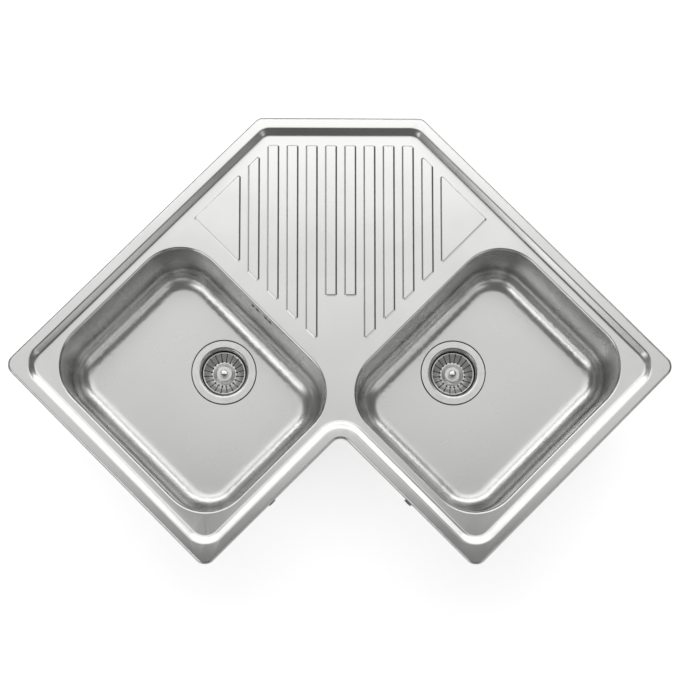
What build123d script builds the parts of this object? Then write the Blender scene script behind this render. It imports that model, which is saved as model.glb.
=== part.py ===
from build123d import *
import math
import os

# A corner kitchen sink in pressed stainless steel: two bowls on two legs, a ribbed
# drainer between them, a basket strainer waste in each bowl and an overflow in one.
#
# Frame: the origin is the middle of the square plan, on the worktop's surface.
# +Z is up. The walls of the room lie along +X and +Y. The left bowl is on the -X leg
# and the right bowl, its mirror image in the plane x = y, on the -Y leg.

# ---------------------------------------------------------------- driving dimensions
# All lengths are in millimetres.

# Plan of the rim
chamfer_leg = 205.0        # cut from each wall side at the room's corner
corner_radius = 20.0       # rim's square corners and the inner corner at the front
chamfer_radius = 18.0      # rim's two blunt corners beside the chamfer

# Pressed sheet and rim section
sheet = 1.0                # steel sheet
rim_rise = 4.5             # rim's top above the worktop
rim_round = 4.0            # rounding of the rim's outer edge
step_inset = 18.5          # rim's edge to the top of the step down to the deck
step_run = 12.5            # width of the step
step_drop = 6.0            # height of the step
step_corner_radius = 41.5  # step's square corners, at its top
step_chamfer_radius = 32.0
step_notch_radius = 38.5
step_top_round = 8.0
step_foot_round = 12.0

# Bowls
bowl_margin = 47.0         # rim's edge to the bowl's wall on the outer three sides
bowl_web = 54.96           # least width of deck between the two bowls
bowl_width = 338.0
bowl_length = 406.0
bowl_corner_radius = 80.0
bowl_depth = 177.0         # deck to the floor beside the waste
bowl_draft = 3.0           # degrees
floor_slope = 0.7          # degrees, down to the waste from every side
floor_round = 40.0         # wall to floor
mouth_round = 5.0          # deck to wall
weld_depth = 10.5          # deck to the butt weld between collar and bowl
waste_aside = 60.0         # waste's centre from the bowl's centre, towards the drainer
waste_forward = 9.0        # and towards the front

# Drainer
rib_pitch = 34.0
rib_count = 10
rib_width = 21.5
rib_height = 2.0
rib_flank = 2.6            # width of a rib's sloping side
rib_round = 4.0            # rib's corners in plan
rib_top_round = 2.5        # rib's top edges
rib_chamfer_gap = 48.0     # rim's edge to the ribs at the chamfer
rib_wall_gap = 47.5        # rim's edge to the ribs at the walls
rib_bowl_gap = 31.5        # bowl's wall to the ribs
rib_short_start = 120.6    # the middle two ribs start this far from the others' vertex
outer_triangle_gap = 12.25 # last rib to the triangle beside it

# Rim seal
seal_inset = 4.5
seal_width = 7.0

# Fixing clips
worktop_thickness = 38.0
clip_counts = (1, 3, 2, 1, 1, 2, 3)
bracket_bowl_gap = 4.0     # bowl's wall to the bracket's flange
bracket_sheet = 1.5
bracket_width = 24.0
bracket_flange = 7.0
bracket_drop = 21.0
slot_drop = 8.0            # bracket's top to the middle of its slot
slot_height = 3.2
clip_sheet = 2.0
clip_width = 14.0
clip_slot_play = 0.6       # each side of the clip's tongue in the slot
clip_play = 0.3            # clip to the bracket's leg, both sides
clip_hook = 5.0
clip_reach = 1.5           # rim's edge to the outer end of the clip's foot
clip_foot_gap = 18.0       # worktop's underside to the clip's foot
screw_inset = 7.0          # rim's edge to the clamping screw
clip_screw_radius = 3.0
clip_screw_head_radius = 5.0
clip_screw_head = 3.5
clip_screw_tail = 8.0      # thread below the clip's foot
clip_pad_radius = 5.0
clip_pad = 1.6

# Sound pads under the bowls
pad_thickness = 3.0
pad_width = 210.0
pad_length = 290.0
pad_round = 18.0
pad_gap = 8.0              # round the waste

# Waste: recess, flange and its cup
throat_radius = 42.0
throat_round = 3.5
flange_width = 15.5        # throat to the flange's edge
flange_dish_run = 4.5      # width of the flange's dip at the throat
flange_dish = 0.8
flange_sheet = 1.2
flange_gasket = 1.5
flange_gasket_gap = 1.0    # flange's dip to its gasket's bore
flange_gasket_lap = 1.8    # flange's edge to its gasket's edge, which shows round it
recess_gap = 2.4           # round the flange
recess_depth = 2.5
hole_gap = 1.8             # flange's throat to the bowl's hole
cup_depth = 38.0           # flange's top to the floor of the cup
cup_ledge_drop = 16.0      # flange's top to the end of the cup's upper wall
cup_taper = 1.5            # how much the upper wall narrows
cup_floor_radius = 30.0
cup_round = 4.0
cup_drain_radius = 6.5
cup_drain_circle = 19.0
cup_drain_count = 6

# Waste: body, gasket, screw and nut
body_gasket = 2.0
body_gasket_gap = 0.5      # bowl's hole to the body gasket's bore
body_gasket_inset = 1.5    # body's edge to its gasket's edge
body_flange = 4.5
body_wall = 3.0
body_mouth_gap = 1.5       # bowl's hole to the body's mouth
body_throat_length = 16.0
body_waist_radius = 36.0   # outside, where the funnel meets the outlet's shoulder
body_waist_rise = 5.0      # boss's foot to that waist
outlet_radius = 23.9
outlet_bore = 20.3
outlet_shoulder_gap = 7.0  # boss's foot to the outlet's shoulder
outlet_length = 32.0
boss_radius = 9.0
boss_gap = 2.5             # cup's underside to the boss
boss_height = 15.0
web_count = 3
web_thickness = 2.5
waste_screw_radius = 3.0
waste_screw_head_radius = 6.0
waste_screw_head = 3.5
waste_screw_tail = 3.3     # past the boss's foot
screw_play = 0.3           # round a screw in a plain hole
thread_play = 0.05         # round a screw in its nut
drive_slot_width = 1.4
drive_slot_depth = 1.4
nut_flats = 10.0
nut_height = 5.0
nut_play = 0.15
nut_cover = 1.0            # boss's foot to the nut

# Basket strainer
basket_sheet = 0.8
basket_gap = 1.5           # cup's narrowest upper wall to the basket's rim
basket_rim_drop = 14.0     # flange's top to the basket's rim
basket_rim_width = 2.5
basket_foot_gap = 1.1      # waste screw's head to the stem's foot
basket_floor_radius = 23.2
basket_floor_width = 3.7   # flat ring round the dome
basket_dome_slope = 5.5    # width of the dome's sloping side
basket_dome_rise = 3.5
basket_dome_round = 6.0
basket_round = 1.6
basket_lip = 2.2           # turned down at the rim
basket_lip_round = 1.2
slot_count = 20
slot_width = 1.4
slot_inner_gap = 0.4       # floor's edge to the middle of the slot's round inner end
slot_outer_gap = 0.6       # cone's top to the slot's outer end
slot_end_radius = 1.7      # inner end
slot_rim_radius = 1.2      # outer end
stem_radius = 2.8
stem_play = 0.05
stem_head_radius = 5.0
stem_head = 1.6
knob_radius = 6.6
knob_neck_radius = 3.9
knob_height = 14.0
knob_cap = 4.2
knob_crown = 1.0           # how much the knob's top domes
knob_edge_round = 1.0
plug_thickness = 3.0
plug_hub_radius = 25.0
plug_boss_radius = 10.0
plug_gap = 0.35            # rubber plug to the cup's wall
plug_lip = 4.0

# Overflow
overflow_drop = 24.0       # deck to the middle of the slots
overflow_slot_width = 6.5
overflow_slot_height = 16.0
overflow_slot_places = (-21.0, -10.2, 10.2, 21.0)
overflow_gasket = 1.5
head_width = 66.0
head_height = 34.0
head_wall = 3.0
head_round = 8.0
head_boss_radius = 5.0
overflow_screw_radius = 2.5
overflow_screw_head_radius = 4.2
overflow_screw_head = 1.0
overflow_screw_length = 16.0
spigot_radius = 12.0
spigot_bore = 8.6
spigot_length = 15.0
spigot_shoulder = 2.5      # spigot's side to the head's roof
inlet_drop = 19.0          # body's top to the axis of its overflow inlet

# Overflow hose and its nuts
hose_root_radius = 10.6
hose_crest_radius = 12.4
hose_lip = 2.0
hose_bend_radius = 24.0
rib_spacing = 5.2          # along the hose
hose_cuff = 25.0           # plain length at each end
rib_shape = (              # share of a rib's spacing, radius there
    (0.0, hose_root_radius),
    (0.25, hose_crest_radius),
    (0.55, hose_crest_radius),
    (0.8, hose_root_radius),
)
hose_nut_radius = 15.6
hose_nut_grip = 9.0        # over the spigot
hose_nut_collar = 5.0      # past the hose's lip
hose_nut_grooves = 18
hose_nut_groove_radius = 1.2
hose_nut_wall_gap = 1.4    # bowl's wall to the upper nut
hose_nut_body_gap = 2.0    # waste body's flange to the lower nut
fit_play = 0.1

# ---------------------------------------------------------------- derived places
middle_gap = (             # plan's middle lines to the bowls' walls beside the drainer
    ((2 * bowl_corner_radius + bowl_web) / math.sqrt(2) + bowl_length - bowl_width) / 2
    - bowl_corner_radius
)
half = bowl_margin + bowl_width + middle_gap
plan_side = 2 * half
leg_depth = bowl_length + 2 * bowl_margin
front = half - leg_depth
deck = rim_rise - step_drop
weld = deck - weld_depth
recess_top = deck - bowl_depth
bracket_inset = bowl_margin - bracket_bowl_gap - bracket_flange - bracket_sheet
seat = recess_top - recess_depth
flange_top = seat + flange_gasket + flange_sheet
cup_floor = flange_top - cup_depth
flange_radius = throat_radius + flange_width
flange_dish_radius = throat_radius + flange_dish_run
recess_radius = flange_radius + recess_gap
hole_radius = throat_radius + flange_sheet + hole_gap
cup_ledge_radius = throat_radius - cup_taper
body_mouth_radius = hole_radius + body_mouth_gap
body_throat_radius = body_mouth_radius + body_wall
bowl_under = seat - sheet
body_top = bowl_under - body_gasket
boss_top = cup_floor - flange_sheet - boss_gap
boss_low = boss_top - boss_height
nut_top = boss_low + nut_cover + nut_height
waist = boss_low + body_waist_rise
shoulder = boss_low - outlet_shoulder_gap
basket_rim = flange_top - basket_rim_drop
basket_rim_radius = cup_ledge_radius - basket_gap
basket_top_radius = basket_rim_radius - basket_rim_width
basket_dome_radius = basket_floor_radius - basket_floor_width
stem_foot = cup_floor + waste_screw_head + basket_foot_gap
plug_foot = stem_foot + stem_head
basket_floor = plug_foot + plug_thickness + basket_sheet
knob_foot = basket_floor + basket_dome_rise
slot_inner = basket_floor_radius - slot_inner_gap
slot_outer = basket_top_radius - slot_outer_gap
inlet_height = body_top - inlet_drop
inlet_reach = flange_radius + hose_nut_body_gap + hose_nut_grip
hose_lip_radius = spigot_radius - fit_play
spigot_inset = hose_nut_radius + hose_nut_wall_gap
head_roof = spigot_inset + spigot_radius + spigot_shoulder
bowl_x = -middle_gap - bowl_width / 2
bowl_y = front + bowl_margin + bowl_length / 2
waste_x = bowl_x + waste_aside
waste_y = bowl_y - waste_forward
draft = math.radians(bowl_draft)
step_angle = math.atan2(step_drop, step_run)
mirror_plane = Plane(origin=(0, 0, 0), z_dir=(1, -1, 0))


# ---------------------------------------------------------------- plan outlines
def plan_points(inset):
    """The seven corners of the rim's plan, moved inwards by inset."""
    edge = half - inset
    near = front + inset
    cut = half + (half - chamfer_leg) - inset * math.sqrt(2) - edge
    return [
        (cut, edge),
        (edge, cut),
        (edge, -edge),
        (near, -edge),
        (near, near),
        (-edge, near),
        (-edge, edge),
    ]


def plan_face(inset, corner, blunt, notch):
    """The rim's plan, moved inwards, with its corners rounded."""
    radii = [blunt, blunt, corner, corner, notch, corner, corner]
    return make_face(FilletPolyline(*plan_points(inset), radius=radii, close=True))


def rim_face(inset):
    """The rim's outline moved inwards by inset, its corners concentric with the rim's."""
    return plan_face(
        inset, corner_radius - inset, chamfer_radius - inset, corner_radius + inset
    )


def slab(face, low, high):
    """A plan face made into a solid from height low to height high."""
    return extrude(Pos(0, 0, low) * face, high - low)


# ---------------------------------------------------------------- bowls
def bowl_void(grow):
    """The room inside a bowl, centred on the origin, with its walls moved out by grow."""
    mouth = RectangleRounded(
        bowl_width + 2 * grow / math.cos(draft),
        bowl_length + 2 * grow / math.cos(draft),
        bowl_corner_radius + grow,
    )
    void = extrude(Pos(0, 0, deck) * mouth, -(bowl_depth + floor_round), taper=bowl_draft)
    void -= floor_block(grow)
    void = fillet([edge for edge in void.edges() if at_floor(edge)], floor_round + grow)
    return void + waste_recess(grow)


def floor_block(grow):
    """What lies below the floor, a shallow cone that falls to the waste from all sides."""
    fall = math.radians(floor_slope)
    reach = bowl_length
    low = recess_top - grow / math.cos(fall)
    middle = low - recess_radius / 2 * math.tan(fall)
    section = polygon(
        [
            (0, low - 2 * floor_round),
            (reach, low - 2 * floor_round),
            (reach, low + (reach - recess_radius) * math.tan(fall)),
            (recess_radius / 2, middle),
            (0, middle),
        ]
    )
    return Pos(waste_aside, -waste_forward, 0) * turned(section)


def at_floor(edge):
    """Whether an edge of the unrounded void lies where its walls meet the floor."""
    low = recess_top - 2 * sheet
    place = edge.position_at(0) - Vector(waste_aside, -waste_forward, 0)
    level = edge.bounding_box()
    outside = math.hypot(place.X, place.Y) > recess_radius
    return outside and level.min.Z > low and level.max.Z < low + floor_round / 2


def waste_recess(grow):
    """The round recess that holds the strainer's flange."""
    recess = extrude(Circle(recess_radius + grow), 2 * recess_depth)
    return Pos(waste_aside, -waste_forward, seat - grow) * recess


def bowl_shell():
    """A drawn bowl, from its weld down, still without its waste hole."""
    shell = bowl_void(sheet) - bowl_void(0)
    return split(shell, bisect_by=Plane.XY.offset(weld), keep=Keep.BOTTOM)


def waste_hole():
    """What the waste hole takes out of the recess."""
    return Pos(waste_aside, -waste_forward, seat) * Cylinder(hole_radius, 4 * sheet)


def overflow_plane():
    """On the wall's outer face at the middle of the overflow: x along the wall, y up it."""
    rise = (math.sin(draft), 0, math.cos(draft))
    out = (math.cos(draft), 0, -math.sin(draft))
    top = sheet / math.cos(draft) - middle_gap
    place = Vector(top, bowl_y, deck) - Vector(*rise) * (overflow_drop / math.cos(draft))
    return Plane(origin=place, x_dir=(0, 1, 0), z_dir=out)


def overflow_cuts():
    """The four upright slots and the screw's hole in the left bowl's wall."""
    slot = SlotOverall(overflow_slot_height, overflow_slot_width, rotation=90)
    cuts = Circle(overflow_screw_radius + screw_play)
    for place in overflow_slot_places:
        cuts += Pos(place, 0) * slot
    return overflow_plane() * extrude(cuts, 3 * sheet, both=True)


def bowls():
    plain = Pos(bowl_x, bowl_y, 0) * (bowl_shell() - waste_hole())
    return {
        "bowl_left": plain - overflow_cuts(),
        "bowl_right": mirror(plain, about=mirror_plane),
    }


# ---------------------------------------------------------------- deck
def drainer_plane(height):
    """On the deck, x across the drainer and y towards the room's corner."""
    return Plane(origin=(0, 0, height), x_dir=(1, -1, 0), z_dir=(0, 0, 1))


def drainer_field():
    """The five-sided field that the ribs fill, in the drainer's own axes."""
    vertex = (rib_bowl_gap - middle_gap) * math.sqrt(2)
    top = (half + half - chamfer_leg) / math.sqrt(2) - rib_chamfer_gap
    side = (half - rib_wall_gap) * math.sqrt(2)
    wide = (side - vertex) / 2
    return make_face(
        Polyline(
            (0, vertex),
            (wide, vertex + wide),
            (side - top, top),
            (top - side, top),
            (-wide, vertex + wide),
            close=True,
        )
    )


def rib_faces():
    """The footprints of the drainer's ribs: upright bars between two triangles."""
    field = drainer_field()
    vertex = (rib_bowl_gap - middle_gap) * math.sqrt(2)
    faces = []
    for index in range(rib_count):
        across = (index - (rib_count - 1) / 2) * rib_pitch
        start = vertex
        if abs(across) < rib_pitch:
            start = vertex + rib_short_start
        bar = Pos(across, start + plan_side / 2) * Rectangle(rib_width, plan_side)
        faces.append((field & bar).face())
    side = rib_pitch * (rib_count - 1) / 2 + rib_width / 2 + outer_triangle_gap
    for sign in (-1, 1):
        outer = Pos(sign * (side + plan_side / 2), vertex) * Rectangle(plan_side, plan_side)
        faces.append((field & outer).face())
    return faces


def ribs(grow):
    """The drainer's ribs, sunk by grow along their own surfaces."""
    flank = math.atan2(rib_height, rib_flank)
    shrink = grow * math.tan(flank / 2)
    solids = []
    for face in rib_faces():
        plan = fillet(face.vertices(), rib_round)
        if shrink > 0:
            plan = offset(plan, amount=-shrink)
        taper = math.degrees(math.atan2(rib_flank, rib_height))
        bar = extrude(drainer_plane(deck - grow) * plan, rib_height, taper=taper)
        solids += fillet(edges_at(bar, deck - grow + rib_height), rib_top_round - grow).solids()
    return solids


def step_void(grow):
    """The room above the deck, inside the step, with its surface sunk by grow."""
    shift = grow * math.tan(step_angle / 2)
    inset = step_inset - shift
    top = plan_face(
        inset,
        step_corner_radius + shift,
        step_chamfer_radius + shift,
        step_notch_radius - shift,
    )
    foot = plan_face(
        inset + step_run,
        step_corner_radius + shift - step_run,
        step_chamfer_radius + shift - step_run,
        step_notch_radius - shift + step_run,
    )
    sections = [Pos(0, 0, deck - grow) * foot, Pos(0, 0, rim_rise - grow) * top]
    return loft(sections, ruled=True)


def edges_at(form, height):
    """The level edges of a form at a height."""
    near = sheet / 100
    return form.edges().filter_by_position(Axis.Z, height - near, height + near)


def near_mouth(edge):
    """Whether an edge lies on the mouth of either bowl."""
    place = edge.center()
    for x, y in ((place.X, place.Y), (place.Y, place.X)):
        aside = abs(x - bowl_x) < bowl_width / 2 + 2 * sheet
        along = abs(y - bowl_y) < bowl_length / 2 + 2 * sheet
        if aside and along:
            return True
    return False


def deck_form(grow):
    """All that lies under the deck's skin, down to the welds, sunk by grow."""
    form = slab(rim_face(grow), weld - grow, rim_rise - grow)
    form = fillet(form.edges().group_by(Axis.Z)[-1], rim_round - grow)
    form -= step_void(grow)
    top_edges = edges_at(form, rim_rise - grow)
    inner = [edge for edge in top_edges if min_inset(edge) > step_inset / 2]
    form = fillet(inner, step_top_round - grow)
    form = fillet(edges_at(form, deck - grow), step_foot_round + grow)
    mouth = Pos(bowl_x, bowl_y, 0) * bowl_void(grow)
    form -= mouth
    form -= mirror(mouth, about=mirror_plane)
    level = edges_at(form, deck - grow)
    form = fillet([edge for edge in level if near_mouth(edge)], mouth_round - grow)
    return form + ribs(grow)


def min_inset(edge):
    """Roughly how far inside the rim's outline an edge lies."""
    place = edge.position_at(0.5)
    x, y = place.X, place.Y
    wall = half - max(abs(x), abs(y))
    chamfer = (2 * half - chamfer_leg - x - y) / math.sqrt(2)
    notch = max(x, y) - front
    return min(wall, chamfer, notch)


def sink_deck():
    pressed = deck_form(0) - deck_form(sheet)
    skirt = slab(rim_face(-sheet), weld - sheet, 0) - slab(rim_face(seal_inset), weld - sheet, 0)
    return pressed - skirt


# ---------------------------------------------------------------- rim seal and fixings
def rim_seal():
    """The foam strip between the rim and the worktop."""
    height = rim_rise - sheet
    inside = rim_face(seal_inset + seal_width)
    return slab(rim_face(seal_inset), 0, height) - slab(inside, 0, height)


def clip_planes():
    """One plane per clip: origin on the rim's edge, x along it, y up and z outwards."""
    up = Vector(0, 0, 1)
    points = [Vector(x, y, 0) for x, y in plan_points(0)]
    planes = []
    for index, count in enumerate(clip_counts):
        start = points[index]
        run = points[(index + 1) % len(points)] - start
        out = up.cross(run.normalized())
        for place in range(count):
            origin = start + run * ((place + 0.5) / count)
            planes.append(Plane(origin=origin, x_dir=up.cross(out), z_dir=out))
    return planes


def section_solid(face, width):
    """A section drawn outwards along x and up along y, given a width along the rim."""
    cross_plane = Plane(origin=(0, 0, 0), x_dir=(0, 0, 1), z_dir=(-1, 0, 0))
    return extrude(cross_plane * face, width / 2, both=True)


def polygon(points):
    """A closed plane face with the given corners."""
    return make_face(Polyline(*points, close=True))


def bracket():
    """A Z-section tab, spot-welded under the deck, with a slot for the clip's tongue."""
    top = deck - sheet
    outer = -bracket_inset
    inner = outer - bracket_sheet
    outline = polygon(
        [
            (outer, top),
            (outer, top - bracket_drop),
            (inner, top - bracket_drop),
            (inner, top - bracket_sheet),
            (outer - bracket_flange, top - bracket_sheet),
            (outer - bracket_flange, top),
        ]
    )
    slot = Pos(outer, top - slot_drop) * Rectangle(4 * bracket_sheet, slot_height)
    slot_width = clip_width + 2 * clip_slot_play
    return section_solid(outline, bracket_width) - section_solid(slot, slot_width)


def clip():
    """A bent strip: a hook through the bracket's slot, a leg, and a foot below the worktop."""
    tongue = deck - sheet - slot_drop - slot_height / 2
    hook = -bracket_inset - bracket_sheet - clip_play
    leg = -bracket_inset + clip_play
    foot = -worktop_thickness - clip_foot_gap
    outline = polygon(
        [
            (hook - clip_sheet, tongue),
            (hook - clip_sheet, tongue + clip_sheet + clip_hook),
            (hook, tongue + clip_sheet + clip_hook),
            (hook, tongue + clip_sheet),
            (leg + clip_sheet, tongue + clip_sheet),
            (leg + clip_sheet, foot),
            (-clip_reach, foot),
            (-clip_reach, foot - clip_sheet),
            (leg, foot - clip_sheet),
            (leg, tongue),
        ]
    )
    strip = section_solid(outline, clip_width)
    bends = strip.edges().filter_by(Axis.X).filter_by(
        lambda edge: edge.center().Y < foot and edge.center().Z < leg + clip_sheet
    )
    strip = fillet(bends, clip_sheet)
    hole = Cylinder(clip_screw_radius + thread_play, 4 * clip_sheet)
    return strip - Pos(0, foot, -screw_inset) * Rot(90, 0, 0) * hole


def clip_screw():
    """A slotted screw whose pad bears on the worktop's underside."""
    top = -worktop_thickness
    low = top - clip_foot_gap - clip_sheet - clip_screw_tail
    shaft = polygon(
        [
            (0, top),
            (clip_pad_radius, top),
            (clip_pad_radius, top - clip_pad),
            (clip_screw_radius, top - clip_pad),
            (clip_screw_radius, low),
            (clip_screw_head_radius, low),
            (clip_screw_head_radius, low - clip_screw_head),
            (0, low - clip_screw_head),
        ]
    )
    screw = revolve(shaft, Axis.Y)
    groove = Box(4 * clip_screw_head_radius, 2 * drive_slot_depth, drive_slot_width)
    return Pos(0, 0, -screw_inset) * (screw - Pos(0, low - clip_screw_head) * groove)


def along_rim(piece):
    """Copies of a piece at every clip's place, as separate solids of one node."""
    return Compound([(plane * piece).solid() for plane in clip_planes()])


def sound_pad():
    """The damping pad stuck under a bowl's floor, cut away round the waste."""
    layer = bowl_void(sheet + pad_thickness) - bowl_void(sheet)
    plan = RectangleRounded(pad_width, pad_length, pad_round)
    plan -= Pos(waste_aside, -waste_forward) * Circle(flange_radius + pad_gap)
    return layer & slab(plan, seat - floor_round, deck)


def fixings():
    pad = Pos(bowl_x, bowl_y, 0) * sound_pad()
    return {
        "rim_seal": rim_seal(),
        "clip_brackets": along_rim(bracket()),
        "fixing_clips": along_rim(clip()),
        "clip_screws": along_rim(clip_screw()),
        "sound_pad_left": pad,
        "sound_pad_right": mirror(pad, about=mirror_plane),
    }


# ---------------------------------------------------------------- wastes
def turned(face):
    """A section drawn with x outwards and y up, turned round the vertical axis."""
    return revolve(Plane.XZ * face, Axis.Z)


def turned_sheet(points, radii, thickness):
    """A turned piece of even thickness below and outside the given bent line."""
    line = FilletPolyline(*points, radius=radii)
    return turned(make_face(offset(line, amount=thickness, side=Side.LEFT)))


def ring(inner, outer, low, high):
    """A flat ring round the vertical axis."""
    return Pos(0, 0, low) * extrude(Circle(outer) - Circle(inner), high - low)


def strainer_flange():
    """The dished flange in the recess, with its throat and the cup below it."""
    points = [
        (flange_radius, flange_top),
        (flange_dish_radius, flange_top),
        (throat_radius, flange_top - flange_dish),
        (cup_ledge_radius, flange_top - cup_ledge_drop),
        (cup_floor_radius, cup_floor),
        (waste_screw_radius + screw_play, cup_floor),
    ]
    radii = [throat_round, throat_round, cup_round, cup_round]
    cup = turned_sheet(points, radii, flange_sheet)
    drain = Pos(cup_drain_circle, 0, cup_floor) * Cylinder(cup_drain_radius, 4 * flange_sheet)
    return cup - PolarLocations(0, cup_drain_count) * drain


def body_outside():
    """The waste body's outer form, solid."""
    throat_end = body_top - body_flange - body_throat_length
    return turned(
        polygon(
            [
                (0, body_top),
                (flange_radius, body_top),
                (flange_radius, body_top - body_flange),
                (body_throat_radius, body_top - body_flange),
                (body_throat_radius, throat_end),
                (body_waist_radius, waist),
                (outlet_radius, shoulder),
                (outlet_radius, shoulder - outlet_length),
                (0, shoulder - outlet_length),
            ]
        )
    )


def body_inside():
    """The room inside the waste body, from its mouth to the outlet's end."""
    throat_end = body_top - body_flange - body_throat_length
    return turned(
        polygon(
            [
                (0, body_top),
                (body_mouth_radius, body_top),
                (body_mouth_radius, throat_end),
                (body_waist_radius - body_wall, waist),
                (outlet_bore, shoulder),
                (outlet_bore, shoulder - outlet_length),
                (0, shoulder - outlet_length),
            ]
        )
    )


def hexagon(flats, low, high):
    """An upright hexagonal prism, by its width across flats."""
    return slab(RegularPolygon(flats / 2, 6, major_radius=False), low, high)


def waste_body():
    """The moulded body under a bowl: a funnel, three webs, a boss and the outlet."""
    outside = body_outside()
    middle = (boss_low + boss_top) / 2
    web = Pos(body_throat_radius / 2, 0, middle) * Box(
        body_throat_radius, web_thickness, boss_height
    )
    webs = Part() + PolarLocations(0, web_count) * web
    boss = Pos(0, 0, middle) * Cylinder(boss_radius, boss_height)
    body = outside - body_inside() + (webs & outside) + boss
    body -= Pos(0, 0, middle) * Cylinder(waste_screw_radius + screw_play, 2 * boss_height)
    return body - hexagon(nut_flats + 2 * nut_play, boss_low, nut_top)


def waste_screw():
    """The slotted screw that clamps flange, bowl and body together."""
    tip = boss_low - waste_screw_tail
    shaft = polygon(
        [
            (0, cup_floor + waste_screw_head),
            (waste_screw_head_radius, cup_floor + waste_screw_head),
            (waste_screw_head_radius, cup_floor),
            (waste_screw_radius, cup_floor),
            (waste_screw_radius, tip),
            (0, tip),
        ]
    )
    groove = Box(4 * waste_screw_head_radius, drive_slot_width, 2 * drive_slot_depth)
    return turned(shaft) - Pos(0, 0, cup_floor + waste_screw_head) * groove


def waste_nut():
    """The nut held in the boss from below."""
    bore = Pos(0, 0, nut_top) * Cylinder(waste_screw_radius + thread_play, 4 * nut_height)
    return hexagon(nut_flats, nut_top - nut_height, nut_top) - bore


def basket_cup():
    """The pressed basket: a rolled rim, a slotted cone and a domed floor."""
    points = [
        (basket_rim_radius, basket_rim - basket_lip),
        (basket_rim_radius, basket_rim),
        (basket_top_radius, basket_rim),
        (basket_floor_radius, basket_floor),
        (basket_dome_radius, basket_floor),
        (basket_dome_radius - basket_dome_slope, knob_foot),
        (stem_radius + stem_play, knob_foot),
    ]
    radii = [basket_lip_round, basket_round, basket_round]
    radii += [basket_dome_round, basket_dome_round]
    cup = turned_sheet(points, radii, basket_sheet)
    middle = (slot_inner + slot_outer) / 2
    reach = 2 * (basket_rim - basket_floor + basket_sheet)
    slot = Pos(middle, 0, basket_floor) * Box(slot_outer - slot_inner, slot_width, reach)
    slot += Pos(slot_inner, 0, basket_floor) * Cylinder(slot_end_radius, reach / 4)
    slot += Pos(slot_outer, 0, basket_floor) * Cylinder(slot_rim_radius, reach)
    return cup - PolarLocations(0, slot_count) * slot


def basket_stem():
    """The pin through cup and plug, riveted over below."""
    return turned(
        polygon(
            [
                (0, stem_foot),
                (stem_head_radius, stem_foot),
                (stem_head_radius, plug_foot),
                (stem_radius, plug_foot),
                (stem_radius, knob_foot + knob_height - knob_cap),
                (0, knob_foot + knob_height - knob_cap),
            ]
        )
    )


def basket_knob():
    """The mushroom knob that stands on the dome and holds the stem's top."""
    top = knob_foot + knob_height
    under = top - knob_cap
    sides = Polyline(
        (0, top),
        (0, under),
        (stem_radius, under),
        (stem_radius, knob_foot),
        (knob_neck_radius, knob_foot),
        (knob_neck_radius, under - knob_cap / 2),
        (knob_radius, under),
        (knob_radius, top - knob_crown),
    )
    crown = TangentArc((0, top), (knob_radius, top - knob_crown), tangent=(1, 0))
    outline = make_face([sides, crown])
    rounded = [v for v in outline.vertices() if v.X > knob_neck_radius + fit_play]
    return turned(fillet(rounded, knob_edge_round))


def plug_wall_radius(height):
    """The inside radius of the flange's cup at a height in its lower cone."""
    share = (height - cup_floor) / (cup_depth - cup_ledge_drop)
    return cup_floor_radius + share * (cup_ledge_radius - cup_floor_radius)


def basket_plug():
    """The rubber plug under the basket, whose lip closes the flange's cup."""
    lip_low = plug_foot + plug_thickness / 2
    lip_high = lip_low + plug_lip
    dome_under = knob_foot - basket_sheet
    lip = plug_wall_radius(lip_low) - plug_gap
    return turned(
        polygon(
            [
                (stem_radius + stem_play, plug_foot),
                (plug_hub_radius, plug_foot),
                (lip, lip_low),
                (plug_wall_radius(lip_high) - plug_gap, lip_high),
                (plug_hub_radius, plug_foot + plug_thickness),
                (plug_boss_radius, plug_foot + plug_thickness),
                (plug_boss_radius, dome_under),
                (stem_radius + stem_play, dome_under),
            ]
        )
    )


def wastes():
    """The pieces of both wastes; only the left body has an overflow inlet."""
    pieces = {
        "strainer_flange": strainer_flange(),
        "flange_gasket": ring(
            flange_dish_radius + flange_gasket_gap,
            flange_radius + flange_gasket_lap,
            seat,
            seat + flange_gasket,
        ),
        "body_gasket": ring(
            hole_radius + body_gasket_gap,
            flange_radius - body_gasket_inset,
            body_top,
            bowl_under,
        ),
        "waste_body": waste_body(),
        "waste_screw": waste_screw(),
        "waste_nut": waste_nut(),
        "basket_cup": basket_cup(),
        "basket_stem": basket_stem(),
        "basket_knob": basket_knob(),
        "basket_plug": basket_plug(),
    }
    placed = {}
    for name, piece in pieces.items():
        placed[name + "_left"] = Pos(waste_x, waste_y, 0) * piece
        placed[name + "_right"] = Pos(waste_y, waste_x, 0) * piece
    placed["waste_body_left"] = with_inlet(placed["waste_body_left"])
    return placed


# ---------------------------------------------------------------- overflow
def spigot_end():
    """The end of the overflow head's spigot, on its axis."""
    low = -head_height / 2 - spigot_length
    return overflow_plane().from_local_coords(Vector(0, low, spigot_inset))


def hose_corner():
    """Where the line down from the spigot meets the level of the waste's inlet."""
    start = spigot_end()
    down = overflow_plane().y_dir * -1
    return start + down * ((start.Z - inlet_height) / -down.Z)


def inlet_direction():
    """From the left waste's axis, level, to the line down from the spigot."""
    return (hose_corner() - Vector(waste_x, waste_y, inlet_height)).normalized()


def inlet_plane(reach):
    """On the inlet's axis at a distance from the waste's axis, facing the hose."""
    out = inlet_direction()
    origin = Vector(waste_x, waste_y, inlet_height) + out * reach
    return Plane(origin=origin, x_dir=(0, 0, 1), z_dir=out)


def with_inlet(body):
    """The left waste body with the inlet for the overflow's hose."""
    root = body_waist_radius
    tube = extrude(inlet_plane(root) * Circle(spigot_radius), inlet_reach - root)
    tube -= Pos(waste_x, waste_y, 0) * body_inside()
    bore = extrude(inlet_plane(root) * Circle(spigot_bore), inlet_reach)
    return body + tube - bore


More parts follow.
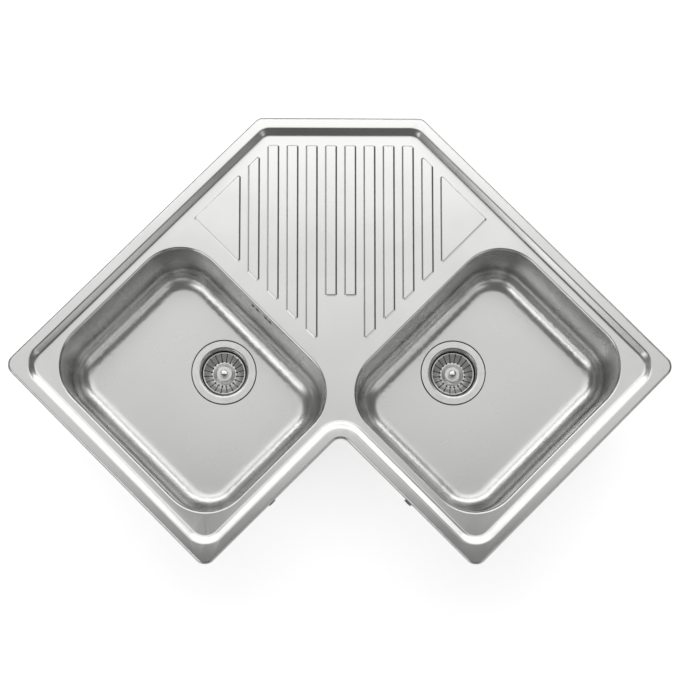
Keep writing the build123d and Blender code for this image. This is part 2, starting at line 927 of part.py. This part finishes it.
def head_block(width_inset, low, high):
    """A block with the overflow head's rounded plan, in the wall's own axes."""
    width = head_width - 2 * width_inset
    height = head_height - 2 * width_inset
    plan = RectangleRounded(width, height, head_round - width_inset)
    return extrude(Pos(0, 0, low) * plan, high - low)


def overflow_head():
    """The moulded box behind the slots, with its screw boss and its spigot."""
    foot = overflow_gasket
    inner_roof = head_roof - head_wall
    box = head_block(0, foot, head_roof)
    box = fillet(box.faces().sort_by(Axis.Z)[-1].edges(), head_wall)
    down = Pos(0, -head_height / 2, spigot_inset) * Rot(90, 0, 0)
    box += down * extrude(Circle(spigot_radius), spigot_length)
    box -= head_block(head_wall, foot, inner_roof)
    box += Pos(0, 0, foot) * extrude(Circle(head_boss_radius), inner_roof - foot)
    box -= down * extrude(Circle(spigot_bore), spigot_length + 2 * head_wall, both=True)
    screw_hole = extrude(Circle(overflow_screw_radius + thread_play), overflow_screw_length)
    return overflow_plane() * (box - screw_hole)


def overflow_ring():
    """The gasket between the overflow head and the bowl's wall."""
    seal = head_block(0, 0, overflow_gasket) - head_block(head_wall, 0, overflow_gasket)
    return overflow_plane() * seal


def overflow_screw():
    """The low-headed screw through the bowl's wall into the head's boss."""
    top = -sheet - overflow_screw_head
    shaft = polygon(
        [
            (0, top),
            (overflow_screw_radius, top),
            (overflow_screw_head_radius, top + overflow_screw_head / 2),
            (overflow_screw_head_radius, -sheet),
            (overflow_screw_radius, -sheet),
            (overflow_screw_radius, overflow_screw_length - sheet),
            (0, overflow_screw_length - sheet),
        ]
    )
    width = overflow_screw_radius / 2
    groove = Box(2 * overflow_screw_head_radius, width, overflow_screw_head)
    return overflow_plane() * (turned(shaft) - Pos(0, 0, top) * groove)


def spigot_plane():
    """On the spigot's end, facing down the hose."""
    return Plane(
        origin=spigot_end(), x_dir=(0, 1, 0), z_dir=overflow_plane().y_dir * -1
    )


def hose_path():
    """The hose's centre line: down the bowl's wall and round to the waste's inlet."""
    return FilletPolyline(
        spigot_end(),
        hose_corner(),
        inlet_plane(inlet_reach).origin,
        radius=hose_bend_radius,
    )


def hose_section(path, distance, radius):
    """A circle square to the path at a distance along it, its seam on one steady side."""
    spot = path.position_at(distance, PositionMode.LENGTH)
    ahead = path.tangent_at(distance, PositionMode.LENGTH)
    steady = spigot_plane().z_dir.cross(inlet_direction()).normalized()
    return Plane(origin=spot, x_dir=steady, z_dir=ahead) * Circle(radius)


def overflow_hose():
    """The ribbed hose with a plain cuff and a lip at each end."""
    path = hose_path()
    length = path.length
    count = math.floor((length - 2 * hose_cuff) / rib_spacing)
    spacing = (length - 2 * hose_cuff) / count
    sections = [hose_section(path, 0, hose_root_radius)]
    for index in range(count):
        start = hose_cuff + index * spacing
        for share, radius in rib_shape:
            sections.append(hose_section(path, start + share * spacing, radius))
    sections.append(hose_section(path, length, hose_root_radius))
    hose = loft(sections, ruled=True)
    for plane in (spigot_plane(), inlet_plane(inlet_reach)):
        hose += plane * extrude(Circle(hose_lip_radius), hose_lip)
    print("hose length", round(length, 1), "ribs", count, "bend", hose_bend_radius)
    return hose - sweep(hose_section(path, 0, spigot_bore), path)


def hose_nut():
    """The grooved nut over a spigot's end and the hose's lip."""
    outline = polygon(
        [
            (spigot_radius + thread_play, -hose_nut_grip),
            (hose_nut_radius, -hose_nut_grip),
            (hose_nut_radius, hose_lip + hose_nut_collar),
            (hose_root_radius + fit_play, hose_lip + hose_nut_collar),
            (hose_root_radius + fit_play, hose_lip),
            (spigot_radius + thread_play, hose_lip),
        ]
    )
    length = 4 * (hose_nut_grip + hose_nut_collar)
    groove = Cylinder(hose_nut_groove_radius, length)
    grooves = PolarLocations(hose_nut_radius + fit_play, hose_nut_grooves) * groove
    return turned(outline) - grooves


def overflow():
    return {
        "overflow_head": overflow_head(),
        "overflow_gasket": overflow_ring(),
        "overflow_screw": overflow_screw(),
        "overflow_hose": overflow_hose(),
        "hose_nut_upper": spigot_plane() * hose_nut(),
        "hose_nut_lower": inlet_plane(inlet_reach) * hose_nut(),
    }


# ---------------------------------------------------------------- all nodes
def build_all():
    """Writes every node as parts/NODE.step."""
    os.makedirs("parts", exist_ok=True)
    nodes = {"sink_deck": sink_deck()}
    for group in (bowls(), fixings(), wastes(), overflow()):
        nodes.update(group)
    for name, shape in nodes.items():
        export_step(shape, "parts/" + name + ".step")


build_all()
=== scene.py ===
import math

import bmesh
import bpy
from mathutils import Matrix, Vector

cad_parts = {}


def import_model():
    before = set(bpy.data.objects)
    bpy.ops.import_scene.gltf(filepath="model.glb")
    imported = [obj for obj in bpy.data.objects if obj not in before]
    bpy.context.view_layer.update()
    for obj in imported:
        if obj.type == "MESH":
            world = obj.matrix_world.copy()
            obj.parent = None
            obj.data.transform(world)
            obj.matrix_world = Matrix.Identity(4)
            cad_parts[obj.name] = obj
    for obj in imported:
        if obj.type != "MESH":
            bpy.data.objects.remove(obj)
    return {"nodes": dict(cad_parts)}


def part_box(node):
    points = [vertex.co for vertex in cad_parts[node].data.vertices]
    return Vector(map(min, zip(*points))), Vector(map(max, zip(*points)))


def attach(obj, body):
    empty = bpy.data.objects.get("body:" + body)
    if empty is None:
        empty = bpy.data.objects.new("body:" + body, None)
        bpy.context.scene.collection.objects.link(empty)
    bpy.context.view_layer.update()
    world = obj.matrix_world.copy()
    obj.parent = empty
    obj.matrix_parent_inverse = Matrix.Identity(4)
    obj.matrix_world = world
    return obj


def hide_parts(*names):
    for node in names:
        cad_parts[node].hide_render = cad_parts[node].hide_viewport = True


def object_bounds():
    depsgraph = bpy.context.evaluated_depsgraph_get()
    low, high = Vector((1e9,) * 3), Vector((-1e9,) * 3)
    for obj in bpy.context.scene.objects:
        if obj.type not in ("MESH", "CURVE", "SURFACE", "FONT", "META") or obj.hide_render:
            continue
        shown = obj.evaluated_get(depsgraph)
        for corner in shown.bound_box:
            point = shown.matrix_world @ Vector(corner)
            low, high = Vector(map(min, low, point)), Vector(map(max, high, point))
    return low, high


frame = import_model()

# A corner kitchen sink in stainless steel, dressed and lit as in a catalogue picture.
# Lengths are in metres, in the part's own frame: +Z is up, the worktop is at height 0
# and the room's corner is towards +X and +Y, which is the top of the picture.

CAD_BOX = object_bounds()
SIDES = ("left", "right")
UP = Vector((0, 0, 1))
PICTURE_UP = Vector((1, 1, 0)).normalized()
PICTURE_RIGHT = Vector((1, -1, 0)).normalized()


def both(stem):
    """The names of a piece that comes twice, left and right."""
    return [f"{stem}_{side}" for side in SIDES]


def middle(node):
    """The middle of a CAD node's box."""
    low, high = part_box(node)
    return (low + high) / 2


def waste_axis(side):
    """A point on a waste's upright axis."""
    return middle(f"waste_screw_{side}")


# ---------------------------------------------------------------- materials
NOISE_LOW = 0.3                 # nearly all of a noise lies between these two
NOISE_HIGH = 0.7
MICROMETRE = 0.000001


class Shader:
    """A node material under construction, with short calls for the nodes it needs."""

    def __init__(self, name, colour, metallic, roughness):
        self.material = bpy.data.materials.new(name)
        self.material.use_nodes = True
        self.nodes = self.material.node_tree.nodes
        self.links = self.material.node_tree.links
        self.surface = self.nodes["Principled BSDF"]
        self.surface.inputs["Base Color"].default_value = (*colour, 1)
        self.surface.inputs["Metallic"].default_value = metallic
        self.surface.inputs["Roughness"].default_value = roughness
        self.place = self.nodes.new("ShaderNodeTexCoord").outputs["Object"]
        self.last_bump = None

    def join(self, source, target):
        self.links.new(source, target)

    def stretched(self, scale, turn=0.0, origin=(0, 0, 0)):
        """Object coordinates moved to origin, turned about Z and scaled along each axis."""
        move = self.nodes.new("ShaderNodeVectorMath")
        move.operation = "SUBTRACT"
        move.inputs[1].default_value = origin
        self.join(self.place, move.inputs[0])
        mapping = self.nodes.new("ShaderNodeMapping")
        mapping.inputs["Rotation"].default_value = (0, 0, turn)
        self.join(move.outputs[0], mapping.inputs["Vector"])
        stretch = self.nodes.new("ShaderNodeVectorMath")
        stretch.operation = "MULTIPLY"
        stretch.inputs[1].default_value = scale
        self.join(mapping.outputs[0], stretch.inputs[0])
        return stretch.outputs[0]

    def noise(self, vector, detail, rough=0.5):
        node = self.nodes.new("ShaderNodeTexNoise")
        node.inputs["Scale"].default_value = 1.0
        node.inputs["Detail"].default_value = detail
        node.inputs["Roughness"].default_value = rough
        self.join(vector, node.inputs["Vector"])
        return node.outputs["Fac"]

    def clouds(self, per_metre, detail, rough=0.5):
        """Noise that is as fine in every direction."""
        return self.noise(self.stretched((per_metre,) * 3), detail, rough)

    def rings(self, origin, pitch):
        """Noise that changes only with the distance from an upright axis."""
        flat = self.stretched((1, 1, 0), origin=origin)
        reach = self.nodes.new("ShaderNodeVectorMath")
        reach.operation = "LENGTH"
        self.join(flat, reach.inputs[0])
        node = self.nodes.new("ShaderNodeTexNoise")
        node.noise_dimensions = "1D"
        node.inputs["Scale"].default_value = 1 / pitch
        node.inputs["Detail"].default_value = 3.0
        self.join(reach.outputs["Value"], node.inputs["W"])
        return node.outputs["Fac"]

    def cells(self, size):
        node = self.nodes.new("ShaderNodeTexVoronoi")
        node.inputs["Scale"].default_value = 1 / size
        self.join(self.place, node.inputs["Vector"])
        return node.outputs["Distance"]

    def between(self, value, low, high, start=NOISE_LOW, end=NOISE_HIGH):
        """A value that runs from start to end, spread from low to high."""
        node = self.nodes.new("ShaderNodeMapRange")
        node.inputs["From Min"].default_value = start
        node.inputs["From Max"].default_value = end
        node.inputs["To Min"].default_value = low
        node.inputs["To Max"].default_value = high
        self.join(value, node.inputs["Value"])
        return node.outputs[0]

    def vary_roughness(self, value, low, high):
        self.join(self.between(value, low, high), self.surface.inputs["Roughness"])

    def vary_colour(self, value, dark, light):
        node = self.nodes.new("ShaderNodeMix")
        node.data_type = "RGBA"
        node.inputs["A"].default_value = (*dark, 1)
        node.inputs["B"].default_value = (*light, 1)
        self.join(self.between(value, 0, 1), node.inputs["Factor"])
        self.join(node.outputs["Result"], self.surface.inputs["Base Color"])

    def bump(self, value, micrometres):
        """Adds relief of a height on top of what is there."""
        node = self.nodes.new("ShaderNodeBump")
        node.inputs["Strength"].default_value = 1.0
        node.inputs["Distance"].default_value = micrometres * MICROMETRE
        self.join(value, node.inputs["Height"])
        if self.last_bump:
            self.join(self.last_bump, node.inputs["Normal"])
        self.join(node.outputs[0], self.surface.inputs["Normal"])
        self.last_bump = node.outputs[0]


def grey(value):
    return (value, value, value)


STEEL = (0.72, 0.72, 0.71)
STEEL_DARK = (0.66, 0.66, 0.65)
POLISHED = (0.80, 0.80, 0.79)
POLISHED_DARK = (0.74, 0.74, 0.73)
POLISHED_LIGHT = (0.82, 0.82, 0.81)
BRUSHED = (2400, 90, 900)       # noise per metre across, along and through the grain
TURNED_PITCH = 0.0006


def satin_steel(name, roughness, turn, wave):
    """Brushed sheet: fine grain one way, faint clouds in the polish and a slow wave."""
    made = Shader(name, STEEL, metallic=1.0, roughness=roughness)
    grain = made.noise(made.stretched(BRUSHED, turn), detail=3.0)
    polish = made.clouds(per_metre=9, detail=3.0)
    slow = made.clouds(per_metre=14, detail=1.0)
    made.vary_colour(polish, STEEL_DARK, STEEL)
    made.vary_roughness(polish, roughness - 0.03, roughness + 0.03)
    made.bump(slow, micrometres=wave)
    made.bump(grain, micrometres=4)
    return made.material


def turned_steel(name, side, roughness):
    """Steel polished on a lathe, with fine rings round a waste's axis."""
    made = Shader(name, STEEL, metallic=1.0, roughness=roughness)
    rings = made.rings(waste_axis(side), TURNED_PITCH)
    polish = made.clouds(per_metre=60, detail=2.0)
    made.vary_colour(polish, STEEL_DARK, STEEL)
    made.vary_roughness(rings, roughness - 0.04, roughness + 0.04)
    made.bump(rings, micrometres=6)
    return made.material


def polished_steel(name, smooth, rough):
    """Pressed and polished steel, a little wavy from the press."""
    made = Shader(name, POLISHED, metallic=1.0, roughness=smooth)
    wave = made.clouds(per_metre=160, detail=2.0)
    smears = made.clouds(per_metre=45, detail=4.0)
    made.vary_colour(smears, POLISHED_DARK, POLISHED_LIGHT)
    made.vary_roughness(smears, smooth, rough)
    made.bump(wave, micrometres=20)
    return made.material


def chrome(name):
    made = Shader(name, grey(0.83), metallic=1.0, roughness=0.05)
    smears = made.clouds(per_metre=120, detail=3.0)
    made.vary_colour(smears, grey(0.79), grey(0.85))
    made.vary_roughness(smears, 0.03, 0.07)
    made.bump(smears, micrometres=4)
    return made.material


def zinc(name):
    """Bright zinc plate: mottled, with a faint blue cast."""
    made = Shader(name, (0.60, 0.61, 0.63), metallic=1.0, roughness=0.35)
    spangle = made.cells(size=0.004)
    mottle = made.clouds(per_metre=140, detail=4.0)
    made.vary_colour(mottle, (0.50, 0.51, 0.53), (0.66, 0.67, 0.69))
    made.vary_roughness(mottle, 0.26, 0.46)
    made.bump(spangle, micrometres=10)
    return made.material


def brass(name):
    """Turned brass, with fine marks round its upright axis."""
    made = Shader(name, (0.72, 0.55, 0.27), metallic=1.0, roughness=0.28)
    marks = made.noise(made.stretched((60, 60, 1800)), detail=3.0)
    made.vary_colour(marks, (0.60, 0.44, 0.20), (0.76, 0.59, 0.30))
    made.vary_roughness(marks, 0.22, 0.36)
    made.bump(marks, micrometres=10)
    return made.material


def plastic(name, dark, light, roughness, relief):
    """Moulded plastic with a fine spark-eroded skin."""
    made = Shader(name, light, metallic=0.0, roughness=roughness)
    skin = made.clouds(per_metre=1500, detail=3.0)
    flow = made.clouds(per_metre=20, detail=3.0)
    made.vary_colour(flow, dark, light)
    made.vary_roughness(skin, roughness - 0.05, roughness + 0.08)
    made.bump(skin, micrometres=relief)
    return made.material


def rubber(name, dark, light, pore, relief):
    """Rubber or foam with pores of the given size."""
    made = Shader(name, light, metallic=0.0, roughness=0.65)
    pores = made.clouds(per_metre=1 / pore, detail=3.0, rough=0.6)
    made.vary_colour(pores, dark, light)
    made.vary_roughness(pores, 0.55, 0.8)
    made.bump(pores, micrometres=relief)
    return made.material


def dress(material, *names):
    """Gives CAD nodes or new pieces a material of their own."""
    for name in names:
        mesh = bpy.data.objects[name].data
        mesh.materials.clear()
        mesh.materials.append(material)


# ---------------------------------------------------------------- edges and shading
SHARP = math.radians(32)        # edges that turn more than this stay edges
FLAT = math.radians(1)          # faces that turn less than this are one
WELD = 0.000004
EDGE_SEGMENTS = 2
NORMAL_WEIGHT = 60


def round_edges(piece, width, segments):
    """Rounds a piece's sharp edges."""
    bevel = piece.modifiers.new("round", "BEVEL")
    bevel.width = width
    bevel.segments = segments
    bevel.limit_method = "ANGLE"
    bevel.angle_limit = SHARP


def shade_by_large_faces(piece):
    shade = piece.modifiers.new("shade", "WEIGHTED_NORMAL")
    shade.weight = NORMAL_WEIGHT


def smooth(*names, edge=0.0):
    """Closes a CAD node's seams, rounds its sharp edges if asked and shades its curves."""
    for name in names:
        node = frame["nodes"][name]
        weld = node.modifiers.new("weld", "WELD")
        weld.merge_threshold = WELD
        if edge:
            round_edges(node, edge, EDGE_SEGMENTS)
        split = node.modifiers.new("split", "EDGE_SPLIT")
        split.split_angle = SHARP
        shade_by_large_faces(node)


# ---------------------------------------------------------------- new pieces
def new_piece(name, mesh):
    for face in mesh.polygons:
        face.use_smooth = True
    piece = bpy.data.objects.new(name, mesh)
    bpy.context.scene.collection.objects.link(piece)
    return piece


def mesh_piece(name, vertices, faces):
    mesh = bpy.data.meshes.new(name)
    mesh.from_pydata(vertices, [], faces)
    mesh.update()
    return new_piece(name, mesh)


def tube_mesh(rows, closed):
    """Points and faces of a tube that joins rows of points, closed on itself or open."""
    count = len(rows[0])
    faces = []
    last = len(rows) if closed else len(rows) - 1
    for i in range(last):
        j = (i + 1) % len(rows)
        for k in range(count):
            m = (k + 1) % count
            faces.append((i * count + k, i * count + m, j * count + m, j * count + k))
    points = [point for row in rows for point in row]
    return points, faces


# ---------------------------------------------------------------- overflow hose
WALL_DRAFT = math.radians(3)    # of the bowl's wall, which the hose runs down
NUT_SHIFT = 0.001               # from a nut's middle to the hose's end inside it
HOSE_BEND = 0.024
HOSE_CUFF = 0.025
HOSE_RIBS = 25
HOSE_ROOT = 0.0106
HOSE_CREST = 0.0124
HOSE_LIP = 0.0119
HOSE_LIP_LENGTH = 0.002
HOSE_LIP_SLOPE = 0.00004        # half the length of the step down from the lip
HOSE_BORE = 0.0086
HOSE_FACETS = 56
RIB_STEPS = 12                  # rings of points in one rib
RIB_FULLNESS = 0.55             # 1 is a plain sine, less is fuller
BORE_STEP = 4                   # rings outside for each ring in the bore


def hose_route():
    """The hose's upper end, the corner of its route and its lower end, from its nuts."""
    upper = middle("hose_nut_upper")
    lower = middle("hose_nut_lower")
    down = Vector((-math.sin(WALL_DRAFT), 0, -math.cos(WALL_DRAFT)))
    corner = upper + down * ((lower.z - upper.z) / down.z)
    inward = waste_axis("left") - corner
    inward.z = 0
    return upper + down * NUT_SHIFT, corner, lower - inward.normalized() * NUT_SHIFT


def hose_line():
    """Length of the route and a function that gives place and directions along it."""
    start, corner, end = hose_route()
    before = (corner - start).normalized()
    after = (end - corner).normalized()
    turn = before.angle(after)
    tangent = HOSE_BEND * math.tan(turn / 2)
    first = (corner - start).length - tangent
    arc = HOSE_BEND * turn
    total = first + arc + (end - corner).length - tangent
    side = before.cross(after).normalized()
    inward = side.cross(before)
    centre = start + before * first + inward * HOSE_BEND

    def at(distance):
        if distance <= first:
            return start + before * distance, before, side
        if distance >= first + arc:
            return end - after * (total - distance), after, side
        swing = Matrix.Rotation((distance - first) / HOSE_BEND, 3, side)
        return centre - swing @ (inward * HOSE_BEND), swing @ before, side

    return total, at


def hose_radius(distance, total):
    """The hose's outside radius, with a lip at each end and rounded ribs between."""
    from_end = min(distance, total - distance)
    if from_end < HOSE_LIP_LENGTH:
        return HOSE_LIP
    if from_end < HOSE_CUFF:
        return HOSE_ROOT
    share = (distance - HOSE_CUFF) / (total - 2 * HOSE_CUFF) * HOSE_RIBS
    swell = max(0.0, math.sin(math.pi * (share % 1.0))) ** RIB_FULLNESS
    return HOSE_ROOT + (HOSE_CREST - HOSE_ROOT) * swell


def overflow_hose():
    """The hose's wall, as one closed outline swept round its centre line."""
    total, at = hose_line()
    ribbed = total - 2 * HOSE_CUFF
    steps = HOSE_RIBS * RIB_STEPS
    lip_top = HOSE_LIP_LENGTH - HOSE_LIP_SLOPE
    lip_foot = HOSE_LIP_LENGTH + HOSE_LIP_SLOPE
    stations = [0.0, lip_top, lip_foot]
    stations += [HOSE_CUFF + ribbed * i / steps for i in range(steps + 1)]
    stations += [total - lip_foot, total - lip_top, total]
    outline = [(station, hose_radius(station, total)) for station in stations]
    outline += [(station, HOSE_BORE) for station in reversed(stations[::BORE_STEP])]
    angles = [2 * math.pi * k / HOSE_FACETS for k in range(HOSE_FACETS)]
    rows = []
    for distance, radius in outline:
        spot, ahead, side = at(distance)
        across = ahead.cross(side)
        rows.append([spot + (side * math.cos(a) + across * math.sin(a)) * radius for a in angles])
    points, faces = tube_mesh(rows, closed=True)
    piece = mesh_piece("ribbed_overflow_hose", points, faces)
    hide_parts("overflow_hose")
    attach(piece, "sink")
    return piece


# ---------------------------------------------------------------- soft strips and pads
def softened(node, name, edge, segments):
    """A rounded copy of a soft CAD node, which it replaces."""
    piece = new_piece(name, frame["nodes"][node].data.copy())
    work = bmesh.new()
    work.from_mesh(piece.data)
    bmesh.ops.remove_doubles(work, verts=work.verts, dist=WELD)
    bmesh.ops.dissolve_limit(work, angle_limit=FLAT, verts=work.verts, edges=work.edges)
    work.to_mesh(piece.data)
    work.free()
    round_edges(piece, edge, segments)
    shade_by_large_faces(piece)
    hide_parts(node)
    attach(piece, "sink")
    return piece


# ---------------------------------------------------------------- outlet threads
OUTLET_RADIUS = 0.0239
THREAD_LENGTH = 0.026
THREAD_END = 0.003              # plain end below the thread
THREAD_PITCH = 0.0023
THREAD_DEPTH = 0.0005
THREAD_FACETS = 72              # round one turn
# Shares of the pitch, upwards, and of the depth, outwards, at the ridge's four edges.
THREAD_SHAPE = ((0.42, -0.02), (0.12, 1.0), (-0.12, 1.0), (-0.42, -0.02))


def outlet_thread(side):
    """The moulded ridge round a waste's outlet that the trap's nut turns on."""
    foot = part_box(f"waste_body_{side}")[0].z + THREAD_END
    axis = waste_axis(side)
    steps = int(THREAD_LENGTH / THREAD_PITCH * THREAD_FACETS)
    edges = len(THREAD_SHAPE)
    rows = []
    for i in range(steps + 1):
        angle = 2 * math.pi * i / THREAD_FACETS
        out = Vector((math.cos(angle), math.sin(angle), 0))
        ease = min(1.0, 2 * i / THREAD_FACETS, 2 * (steps - i) / THREAD_FACETS)
        row = []
        for along, outwards in THREAD_SHAPE:
            height = foot + THREAD_LENGTH * i / steps + along * THREAD_PITCH
            spot = Vector((axis.x, axis.y, height))
            row.append(spot + out * (OUTLET_RADIUS + THREAD_DEPTH * outwards * ease))
        rows.append(row)
    points, faces = tube_mesh(rows, closed=False)
    faces.append(tuple(reversed(range(edges))))
    faces.append(tuple(range(len(points) - edges, len(points))))
    piece = mesh_piece(f"outlet_thread_{side}", points, faces)
    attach(piece, "sink")
    return piece


# ---------------------------------------------------------------- the dressed part
GRAIN_TURN = math.radians(45)   # the sheet's grain runs towards the room's corner
WHITE = (0.78, 0.78, 0.76)
WHITE_SHADE = (0.72, 0.72, 0.70)
HOSE_GREY = (0.68, 0.69, 0.70)
HOSE_SHADE = (0.60, 0.61, 0.62)
PAD_GREY = (0.13, 0.13, 0.125)
PAD_SHADE = (0.06, 0.06, 0.058)


def surfaces():
    smooth("sink_deck", *both("bowl"), *both("strainer_flange"), *both("basket_cup"))
    smooth(*both("basket_knob"), *both("basket_plug"), "overflow_head", "overflow_screw")
    smooth(*both("waste_body"), "hose_nut_upper", "hose_nut_lower", edge=0.0003)
    smooth("clip_brackets", "fixing_clips", "clip_screws", edge=0.0002)
    smooth(*both("waste_screw"), *both("waste_nut"), *both("basket_stem"), edge=0.0002)


def dress_metals():
    dress(satin_steel("deck_steel", 0.2, GRAIN_TURN, wave=30), "sink_deck")
    dress(satin_steel("bowl_steel", 0.26, GRAIN_TURN, wave=80), *both("bowl"))
    for side in SIDES:
        dress(turned_steel(f"strainer_steel_{side}", side, 0.24), f"strainer_flange_{side}")
    dress(polished_steel("basket_steel", 0.28, 0.36), *both("basket_cup"))
    dress(chrome("knob_chrome"), *both("basket_knob"))
    dress(zinc("clip_zinc"), "fixing_clips")
    dress(zinc("screw_zinc"), "clip_screws")
    dress(satin_steel("bracket_steel", 0.36, turn=0, wave=20), "clip_brackets")
    dress(polished_steel("screw_steel", 0.07, 0.14), *both("waste_screw"), "overflow_screw")
    dress(polished_steel("stem_steel", 0.07, 0.14), *both("basket_stem"))
    dress(brass("nut_brass"), *both("waste_nut"))


def dress_plastics():
    """The mouldings. The outlets' threads are of the wastes' own plastic."""
    waste = plastic("waste_plastic", WHITE_SHADE, WHITE, roughness=0.42, relief=20)
    dress(waste, *both("waste_body"), *both("outlet_thread"))
    black = plastic("overflow_plastic", grey(0.012), grey(0.02), roughness=0.5, relief=20)
    dress(black, "overflow_head")
    nuts = plastic("nut_plastic", WHITE_SHADE, WHITE, roughness=0.36, relief=10)
    dress(nuts, "hose_nut_upper", "hose_nut_lower")
    hose = plastic("hose_plastic", HOSE_SHADE, HOSE_GREY, roughness=0.38, relief=10)
    dress(hose, "ribbed_overflow_hose")


def dress_rubbers():
    seals = rubber("seal_rubber", grey(0.03), grey(0.06), pore=0.0015, relief=20)
    dress(seals, *both("flange_gasket"), *both("body_gasket"), "overflow_gasket")
    plugs = rubber("plug_rubber", grey(0.03), grey(0.055), pore=0.002, relief=10)
    dress(plugs, *both("basket_plug"))
    foam = rubber("seal_foam", grey(0.035), grey(0.10), pore=0.0008, relief=150)
    dress(foam, "foam_rim_seal")
    pads = rubber("damping_pad", PAD_SHADE, PAD_GREY, pore=0.006, relief=200)
    dress(pads, *both("damping_sheet"))


def new_pieces():
    overflow_hose()
    for side in SIDES:
        outlet_thread(side)
    softened("rim_seal", "foam_rim_seal", edge=0.0008, segments=3)
    for side in SIDES:
        sheet = f"damping_sheet_{side}"
        softened(f"sound_pad_{side}", sheet, edge=0.0006, segments=2)


# ---------------------------------------------------------------- floor and room
FLOOR_REACH = 9.0
FLOOR_GAP = 0.0005              # below the part
FLOOR_GLOW = 0.66
WORLD_GREY = 0.13


def floor():
    """A pale floor that looks white in the picture and keeps the object's shadow."""
    height = CAD_BOX[0].z - FLOOR_GAP
    signs = ((-1, -1), (1, -1), (1, 1), (-1, 1))
    corners = [(FLOOR_REACH * x, FLOOR_REACH * y, height) for x, y in signs]
    piece = mesh_piece("floor", corners, [(0, 1, 2, 3)])
    made = Shader("floor_paint", grey(0.9), metallic=0.0, roughness=0.8)
    seen = made.nodes.new("ShaderNodeLightPath").outputs["Is Camera Ray"]
    glow = made.between(seen, 0.0, FLOOR_GLOW, 0.0, 1.0)
    made.surface.inputs["Emission Color"].default_value = (1, 1, 1, 1)
    made.join(glow, made.surface.inputs["Emission Strength"])
    piece.data.materials.append(made.material)


def world():
    """A dim room round the object, which the camera sees as white."""
    data = bpy.data.worlds.new("studio")
    bpy.context.scene.world = data
    data.use_nodes = True
    nodes = data.node_tree.nodes
    links = data.node_tree.links
    room = nodes["Background"]
    room.inputs["Color"].default_value = (*grey(WORLD_GREY), 1)
    white = nodes.new("ShaderNodeBackground")
    white.inputs["Color"].default_value = (1, 1, 1, 1)
    seen = nodes.new("ShaderNodeLightPath").outputs["Is Camera Ray"]
    mix = nodes.new("ShaderNodeMixShader")
    links.new(seen, mix.inputs["Fac"])
    links.new(room.outputs[0], mix.inputs[1])
    links.new(white.outputs[0], mix.inputs[2])
    links.new(mix.outputs[0], nodes["World Output"].inputs["Surface"])


# ---------------------------------------------------------------- lights and camera
LAMP_HEIGHT = 3.0
LAMPS = {                       # left, right, bottom and top edges in the picture, radiance
    "softbox_low": (-1.9, 1.7, 0.0, 0.5, 0.76),
    "softbox_middle": (-1.8, 1.3, 0.5, 1.0, 0.9),
    "softbox_back": (-1.8, 1.2, 1.0, 1.9, 1.45),
    "softbox_far": (-3.6, 3.6, 2.4, 4.6, 2.0),
    "softbox_front_left": (-3.6, -1.3, -2.4, -1.2, 2.1),
    "softbox_front_right": (1.3, 3.6, -2.4, -1.2, 0.8),
}
PANEL_DISTANCE = 4.4
PANELS = {                      # direction in the picture, half width, low and high edges, radiance
    "panel_left": (180, 1.7, 0.3, 1.3, 0.8),
    "panel_front_left": (-135, 1.7, 1.3, 3.0, 1.2),
    "panel_front": (-90, 1.2, 1.7, 3.0, 0.6),
    "panel_front_right": (-45, 1.7, 1.3, 3.0, 0.8),
}


def lamp(name, centre, axes, width, height, radiance):
    """A rectangular lamp that shines against its third axis and isn't seen itself."""
    data = bpy.data.lights.new(name, "AREA")
    data.shape = "RECTANGLE"
    data.size = width
    data.size_y = height
    data.energy = radiance * math.pi * width * height
    made = bpy.data.objects.new(name, data)
    bpy.context.scene.collection.objects.link(made)
    turn = Matrix(axes).transposed().to_4x4()
    made.matrix_world = Matrix.Translation(centre) @ turn
    made.visible_camera = False


def lights():
    """Level softboxes overhead and upright panels round the object."""
    for name, (left, right, bottom, top, radiance) in LAMPS.items():
        centre = PICTURE_RIGHT * (left + right) / 2 + PICTURE_UP * (bottom + top) / 2
        centre += UP * LAMP_HEIGHT
        axes = (PICTURE_RIGHT, PICTURE_UP, UP)
        lamp(name, centre, axes, right - left, top - bottom, radiance)
    for name, (direction, half_width, low, high, radiance) in PANELS.items():
        angle = math.radians(direction)
        out = PICTURE_RIGHT * math.cos(angle) + PICTURE_UP * math.sin(angle)
        centre = out * PANEL_DISTANCE + UP * (low + high) / 2
        axes = (UP.cross(out), UP, out)
        lamp(name, centre, axes, 2 * half_width, high - low, radiance)


CAMERA_HEIGHT = 4.0
CAMERA_DOWN_PICTURE = 0.56
CAMERA_LEFT = 0.08
CAMERA_REACH = 50
TARGET_UP_PICTURE = 0.045
TARGET_LEFT = 0.0011
LENS = 122.7                    # mm
SENSOR = 36                     # mm


def camera():
    data = bpy.data.cameras.new("camera")
    data.lens = LENS
    data.sensor_width = SENSOR
    data.clip_end = CAMERA_REACH
    view = bpy.data.objects.new("camera", data)
    bpy.context.scene.collection.objects.link(view)
    place = UP * CAMERA_HEIGHT
    place -= PICTURE_UP * CAMERA_DOWN_PICTURE + PICTURE_RIGHT * CAMERA_LEFT
    target = PICTURE_UP * TARGET_UP_PICTURE - PICTURE_RIGHT * TARGET_LEFT
    back = (place - target).normalized()
    right = PICTURE_UP.cross(back).normalized()
    up = back.cross(right)
    view.matrix_world = Matrix.Translation(place) @ Matrix((right, up, back)).transposed().to_4x4()
    bpy.context.scene.camera = view


# ---------------------------------------------------------------- the whole scene
bpy.context.scene.view_settings.view_transform = "Standard"
surfaces()
new_pieces()
dress_metals()
dress_plastics()
dress_rubbers()
floor()
world()
lights()
camera()
